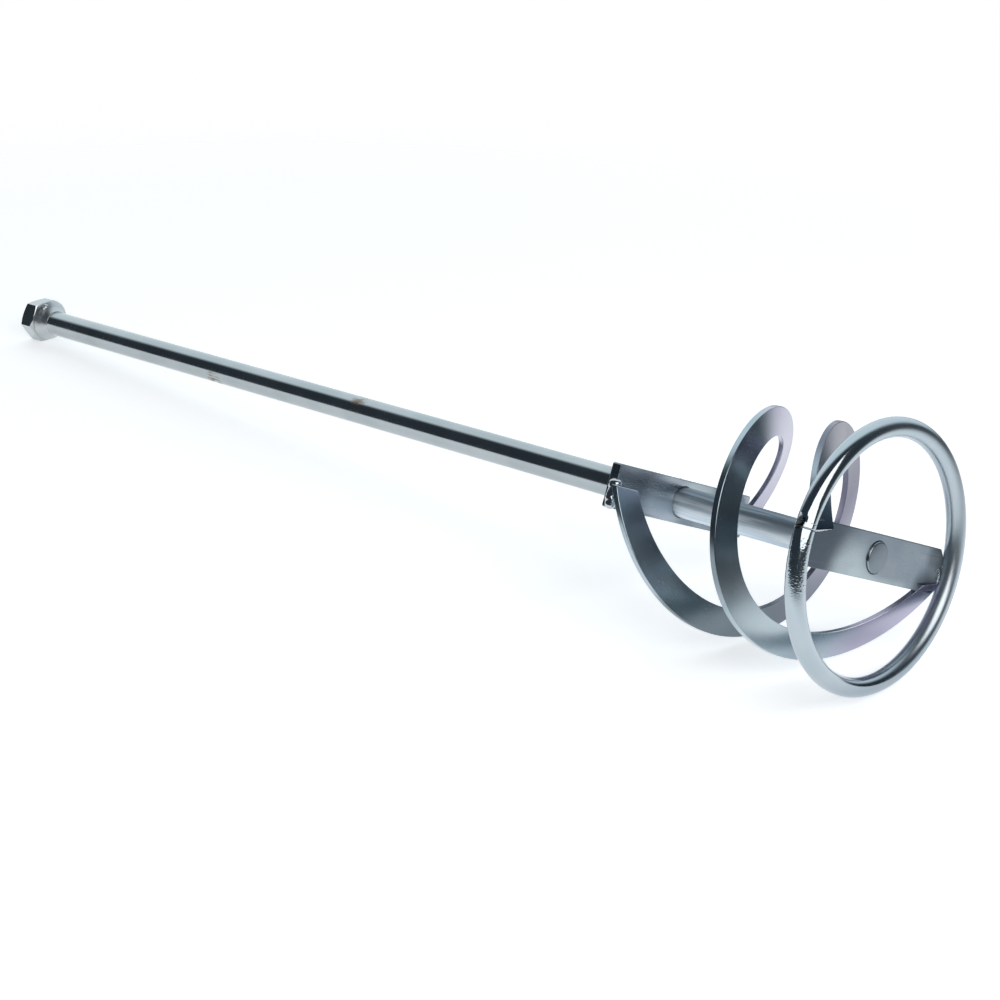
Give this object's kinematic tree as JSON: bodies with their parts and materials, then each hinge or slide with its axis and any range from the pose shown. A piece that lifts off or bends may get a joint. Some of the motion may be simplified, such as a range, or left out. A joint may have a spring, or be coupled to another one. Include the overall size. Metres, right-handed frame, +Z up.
{
  "type": "mortar mixing paddle",
  "caption": "Welded zinc-plated steel mixing paddle: hexagon drive coupling, round shaft, and a basket of crossbars, spiral blades and a round-bar ring.",
  "frame": {"origin": "on the shaft axis, at the middle of the drive coupling's thread", "axes": "+X along the shaft from the coupling to the ring; +Z up, square to two flats of the coupling; +Y follows"},
  "size_m": [0.6145, 0.12, 0.12],
  "materials": {
    "bright_zinc": "bright zinc plating, glossy",
    "satin_zinc": "zinc plating on rolled flat bar, satin",
    "weld_zinc": "zinc plating over weld beads, glossy and lumpy"
  },
  "bodies": {
    "root": {"drive_coupling": "bright_zinc", "shaft": "bright_zinc", "top_crossbar": "satin_zinc", "bottom_crossbar": "satin_zinc", "blade_a": "satin_zinc", "blade_b": "satin_zinc", "bottom_ring": "bright_zinc", "coupling_weld": "weld_zinc", "top_crossbar_weld": "weld_zinc", "bottom_crossbar_weld": "weld_zinc", "blade_a_top_weld": "weld_zinc", "blade_b_top_weld": "weld_zinc", "blade_a_bottom_weld": "weld_zinc", "blade_b_bottom_weld": "weld_zinc", "ring_weld_near": "weld_zinc", "ring_weld_far": "weld_zinc", "ring_butt_weld": "weld_zinc"}
  },
  "joints": []
}
